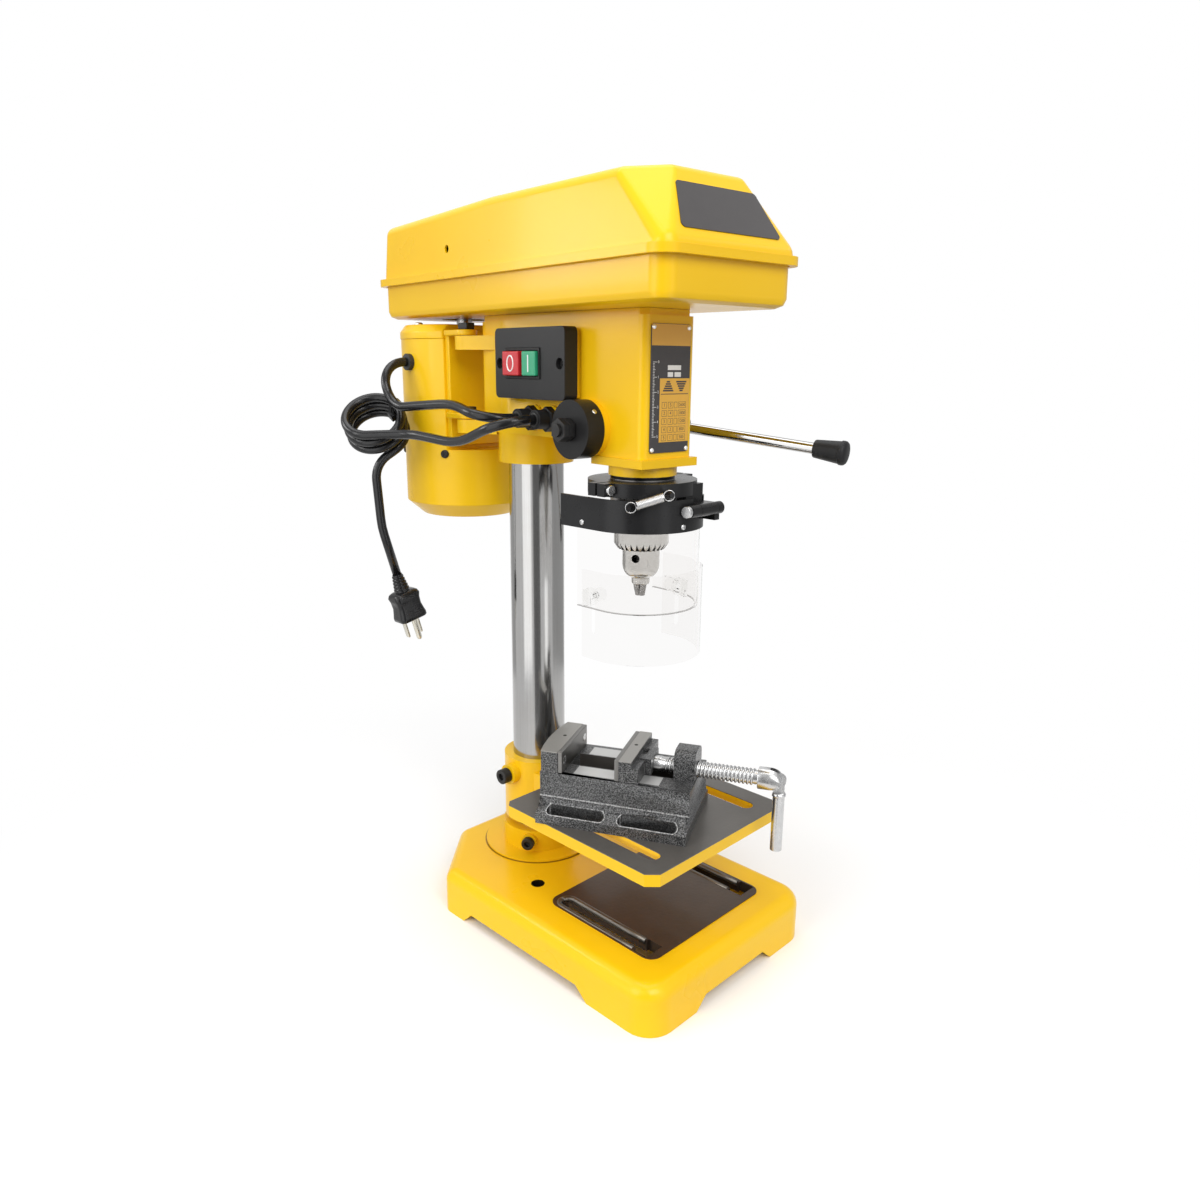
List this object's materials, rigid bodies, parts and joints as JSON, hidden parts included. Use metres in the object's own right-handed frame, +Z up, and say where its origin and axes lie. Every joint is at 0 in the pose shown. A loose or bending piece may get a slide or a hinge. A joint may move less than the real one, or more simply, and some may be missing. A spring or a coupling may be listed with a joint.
{
  "type": "benchtop drill press",
  "caption": "Benchtop drill press: round column on a cast base, slotted table with screw vise, geared quill feed, keyed chuck with clear guard, belt drive under a lid, motor at the rear.",
  "frame": {"origin": "on the bench, midway between the two bench bolt holes of the base", "axes": "+Z up; -Y towards the operator, so the column stands towards +Y; +X to the operator's right"},
  "size_m": [0.2089, 0.4226, 0.582],
  "materials": {
    "cast_yellow": "glossy enamel over cast iron",
    "sheet_yellow": "glossy enamel over pressed steel",
    "bright_steel": "ground and turned steel",
    "chromed": "bright plated",
    "dark_steel": "blackened steel",
    "hammer_grey": "dark grey hammertone enamel over cast iron",
    "black_plastic": "moulded, fine grain",
    "red_plastic": "moulded",
    "green_plastic": "moulded",
    "clear_plastic": "clear polycarbonate",
    "pulley_alloy": "turned die casting",
    "cord_rubber": "flexible sheath",
    "belt_rubber": "fabric-faced V-belt",
    "plate": "printed sheet, dark with yellow panels"
  },
  "bodies": {
    "base": {"base": "cast_yellow", "base_set_screw": "dark_steel"},
    "column": {"column": "bright_steel"},
    "table": {"table": "cast_yellow", "vise_body": "hammer_grey", "vise_fixed_plate": "bright_steel"},
    "table_clamp": {"table_clamp_screw": "dark_steel"},
    "vise_jaw": {"vise_moving_jaw": "hammer_grey", "vise_moving_plate": "bright_steel"},
    "vise_screw": {"vise_screw": "bright_steel"},
    "vise_handle": {"vise_handle": "chromed"},
    "head": {"head_casting": "cast_yellow", "head_lock_screws": "dark_steel", "nameplate": "plate", "switch_box": "black_plastic", "switch_module": "black_plastic", "spring_cap": "black_plastic", "return_spring": "bright_steel", "motor_lead_gland": "black_plastic", "mains_gland": "black_plastic", "belt_tray": "sheet_yellow", "sleeve_bearings": "bright_steel", "v_belt": "belt_rubber", "motor_pivot_bolts": "dark_steel", "motor_lead": "cord_rubber", "guard_clamp": "black_plastic", "guard_hinge_bolt": "bright_steel", "guard_spring": "bright_steel", "mains_lead": "cord_rubber", "mains_coil": "cord_rubber", "mains_drop": "cord_rubber", "plug": "black_plastic"},
    "stop": {"stop_button": "red_plastic"},
    "start": {"start_button": "green_plastic"},
    "lid": {"belt_lid": "sheet_yellow"},
    "quill": {"quill": "bright_steel", "quill_bearings": "bright_steel"},
    "spindle": {"spindle": "bright_steel", "chuck_body": "chromed"},
    "chuck_sleeve": {"chuck_sleeve": "chromed"},
    "chuck_jaw_1": {"chuck_jaw_1": "bright_steel"},
    "chuck_jaw_2": {"chuck_jaw_2": "bright_steel"},
    "chuck_jaw_3": {"chuck_jaw_3": "bright_steel"},
    "pulley": {"pulley_sleeve": "bright_steel", "spindle_pulley": "pulley_alloy"},
    "motor": {"motor_housing": "sheet_yellow", "motor_end_cap": "sheet_yellow", "motor_bracket": "cast_yellow", "motor_grommet": "black_plastic"},
    "rotor": {"motor_shaft": "bright_steel", "motor_pulley": "pulley_alloy"},
    "feed": {"feed_shaft": "bright_steel", "feed_nuts": "bright_steel", "feed_hub": "black_plastic", "feed_rods": "chromed", "feed_knobs": "black_plastic"},
    "guard": {"guard_band": "black_plastic", "upper_shield": "clear_plastic", "shield_thumbscrews": "clear_plastic"},
    "lower_shield": {"lower_shield": "clear_plastic"}
  },
  "joints": [
    {"name": "column_swivel", "type": "hinge", "parent": "base", "child": "column", "pos_m": [0, 0.06, 0], "axis": [0, 0, 1], "range_deg": [-90, 90]},
    {"name": "table_height", "type": "slide", "parent": "column", "child": "table", "axis": [0, 0, 1], "range_m": [-0.005, 0.055]},
    {"name": "table_clamp_turn", "type": "hinge", "parent": "table", "child": "table_clamp", "pos_m": [0, 0.06, 0.112], "axis": [-1, 0, 0], "range_deg": [-90, 180]},
    {"name": "vise_close", "type": "slide", "parent": "table", "child": "vise_jaw", "axis": [0.454, -0.891, 0], "range_m": [-0.006, 0.015]},
    {"name": "vise_screw_turn", "type": "hinge", "parent": "vise_jaw", "child": "vise_screw", "pos_m": [-0.02, -0.064, 0.161], "axis": [0.454, -0.891, 0], "range_deg": [-720, 1800]},
    {"name": "vise_handle_swing", "type": "hinge", "parent": "vise_screw", "child": "vise_handle", "pos_m": [0.03493, -0.17181, 0.161], "axis": [-0.891, -0.454, 0], "range_deg": [0, 90]},
    {"name": "head_swivel", "type": "hinge", "parent": "column", "child": "head", "pos_m": [0, 0.06, 0], "axis": [0, 0, 1], "range_deg": [-45, 45]},
    {"name": "stop_press", "type": "slide", "parent": "head", "child": "stop", "axis": [0.9962, -0.0872, 0], "range_m": [0, 0.003], "stiffness_N_per_m": 600, "springref_m": -0.002},
    {"name": "start_press", "type": "slide", "parent": "head", "child": "start", "axis": [0.9962, -0.0872, 0], "range_m": [0, 0.003], "stiffness_N_per_m": 600, "springref_m": -0.002},
    {"name": "lid_open", "type": "hinge", "parent": "head", "child": "lid", "pos_m": [0.01434, 0.22387, 0.521], "axis": [-0.9962, 0.0872, 0], "range_deg": [0, 85]},
    {"name": "quill_feed", "type": "slide", "parent": "head", "child": "quill", "axis": [0, 0, -1], "range_m": [0, 0.05], "stiffness_N_per_m": 500, "springref_m": -0.05},
    {"name": "feed_turn", "type": "hinge", "parent": "head", "child": "feed", "pos_m": [-0.00898, -0.04261, 0.417], "axis": [0.9962, -0.0872, 0], "range_deg": [0, 328]},
    {"name": "pulley_spin", "type": "hinge", "parent": "head", "child": "pulley", "pos_m": [-0.01133, -0.0695, 0], "axis": [0, 0, 1], "continuous": true},
    {"name": "spindle_spin", "type": "hinge", "parent": "quill", "child": "spindle", "pos_m": [-0.01133, -0.0695, 0], "axis": [0, 0, 1], "continuous": true},
    {"name": "chuck_turn", "type": "hinge", "parent": "spindle", "child": "chuck_sleeve", "pos_m": [-0.01133, -0.0695, 0], "axis": [0, 0, 1], "range_deg": [0, 1620]},
    {"name": "chuck_jaw_1_slide", "type": "slide", "parent": "spindle", "child": "chuck_jaw_1", "axis": [0.1884, 0.0879, 0.9781], "range_m": [0, 0.018]},
    {"name": "chuck_jaw_2_slide", "type": "slide", "parent": "spindle", "child": "chuck_jaw_2", "axis": [-0.1703, 0.1193, 0.9781], "range_m": [0, 0.018]},
    {"name": "chuck_jaw_3_slide", "type": "slide", "parent": "spindle", "child": "chuck_jaw_3", "axis": [-0.0181, -0.2071, 0.9781], "range_m": [0, 0.018]},
    {"name": "motor_swing", "type": "hinge", "parent": "head", "child": "motor", "pos_m": [-0.03185, 0.10896, 0], "axis": [0, 0, 1], "range_deg": [-2.5, 2.5], "deforming": ["v_belt", "motor_lead"]},
    {"name": "motor_spin", "type": "hinge", "parent": "motor", "child": "rotor", "pos_m": [0.00915, 0.1646, 0], "axis": [0, 0, 1], "continuous": true},
    {"name": "guard_swing", "type": "hinge", "parent": "head", "child": "guard", "pos_m": [-0.01133, -0.1188, 0.363], "axis": [-1, 0, 0], "range_deg": [0, 90], "deforming": ["guard_spring"]},
    {"name": "lower_shield_slide", "type": "slide", "parent": "guard", "child": "lower_shield", "axis": [0, 0, 1], "range_m": [0, 0.026]}
  ],
  "couplings": [
    {"joint": "feed_turn", "follows": "quill_feed", "rad_per_m": 114.29},
    {"joint": "spindle_spin", "follows": "pulley_spin", "ratio": 1},
    {"joint": "motor_spin", "follows": "pulley_spin", "ratio": 1},
    {"joint": "vise_screw_turn", "follows": "vise_close", "rad_per_m": 2094.4},
    {"joint": "chuck_jaw_1_slide", "follows": "chuck_turn", "m_per_rad": 0.00063661},
    {"joint": "chuck_jaw_2_slide", "follows": "chuck_turn", "m_per_rad": 0.00063661},
    {"joint": "chuck_jaw_3_slide", "follows": "chuck_turn", "m_per_rad": 0.00063661}
  ]
}
